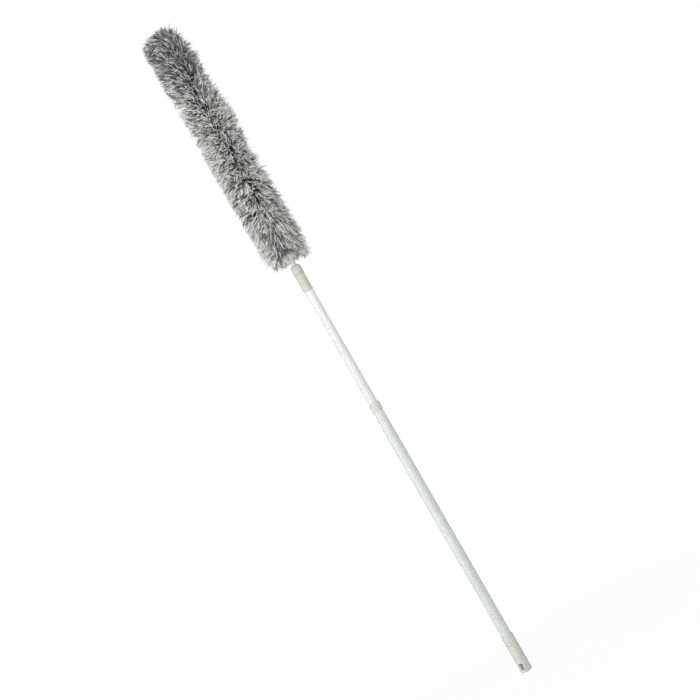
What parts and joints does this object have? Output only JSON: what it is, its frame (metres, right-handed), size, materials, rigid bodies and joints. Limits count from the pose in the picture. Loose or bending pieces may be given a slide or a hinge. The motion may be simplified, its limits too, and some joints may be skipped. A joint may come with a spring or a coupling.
{
  "type": "microfiber duster",
  "caption": "Microfiber duster: a round bendable fibre head on a two-part telescopic pole with a twist lock, a collet socket and a grip with a hanging slot.",
  "frame": {"origin": "centre of the grip's flat end face", "axes": "+Z along the pole towards the head, Y through the grip's hanging slot, X across it"},
  "size_m": [0.0962, 0.0962, 1.5012],
  "materials": {
    "grip_grey": "satin",
    "collar_grey": "satin",
    "cap_grey": "satin",
    "coated_white": "satin",
    "nylon": "satin",
    "screw_steel": "satin",
    "core_black": "matte",
    "hem_grey": "matte",
    "fibre_grey": "matte"
  },
  "bodies": {
    "pole_base": {"handle_grip": "grip_grey", "lower_tube": "coated_white", "mid_collar": "collar_grey"},
    "expander": {"expander_sleeve": "nylon"},
    "cone": {"expander_cone": "nylon"},
    "upper_pole": {"upper_tube": "coated_white", "lock_plug": "nylon", "cone_screw": "screw_steel", "socket_sleeve": "collar_grey"},
    "nut": {"lock_nut": "collar_grey"},
    "head_base": {"head_cap": "cap_grey", "sleeve_hem": "hem_grey", "bend_core_1": "core_black", "pile_1": "fibre_grey"},
    "head_2": {"bend_core_2": "core_black", "pile_2": "fibre_grey"},
    "head_3": {"bend_core_3": "core_black", "pile_3": "fibre_grey"},
    "head_4": {"bend_core_4": "core_black", "pile_4": "fibre_grey"},
    "head_5": {"bend_core_5": "core_black", "pile_5": "fibre_grey"},
    "head_6": {"bend_core_6": "core_black", "pile_6": "fibre_grey", "core_tip_cap": "core_black"}
  },
  "joints": [
    {"name": "pole_extension", "type": "slide", "parent": "pole_base", "child": "expander", "axis": [0, 0, 1], "range_m": [-0.26, 0.2]},
    {"name": "twist_lock", "type": "hinge", "parent": "expander", "child": "upper_pole", "pos_m": [0, 0, 0.3503], "axis": [0, 0, 1], "range_deg": [0, 180]},
    {"name": "cone_travel", "type": "slide", "parent": "expander", "child": "cone", "axis": [0, 0, 1], "range_m": [-0.0015, 0]},
    {"name": "nut_turn", "type": "hinge", "parent": "upper_pole", "child": "nut", "pos_m": [0, 0, 0.9236], "axis": [0, 0, 1], "range_deg": [0, 90]},
    {"name": "head_release", "type": "slide", "parent": "upper_pole", "child": "head_base", "axis": [0, 0, 1], "range_m": [0, 0.04]},
    {"name": "bend_1", "type": "hinge", "parent": "head_base", "child": "head_2", "pos_m": [0, 0, 1.0505], "axis": [0, 1, 0], "range_deg": [-18, 18]},
    {"name": "bend_2", "type": "hinge", "parent": "head_2", "child": "head_3", "pos_m": [0, 0, 1.1325], "axis": [0, 1, 0], "range_deg": [-18, 18]},
    {"name": "bend_3", "type": "hinge", "parent": "head_3", "child": "head_4", "pos_m": [0, 0, 1.2145], "axis": [0, 1, 0], "range_deg": [-18, 18]},
    {"name": "bend_4", "type": "hinge", "parent": "head_4", "child": "head_5", "pos_m": [0, 0, 1.2965], "axis": [0, 1, 0], "range_deg": [-18, 18]},
    {"name": "bend_5", "type": "hinge", "parent": "head_5", "child": "head_6", "pos_m": [0, 0, 1.3785], "axis": [0, 1, 0], "range_deg": [-18, 18]}
  ],
  "couplings": [
    {"joint": "cone_travel", "follows": "twist_lock", "m_per_rad": -0.000477}
  ]
}
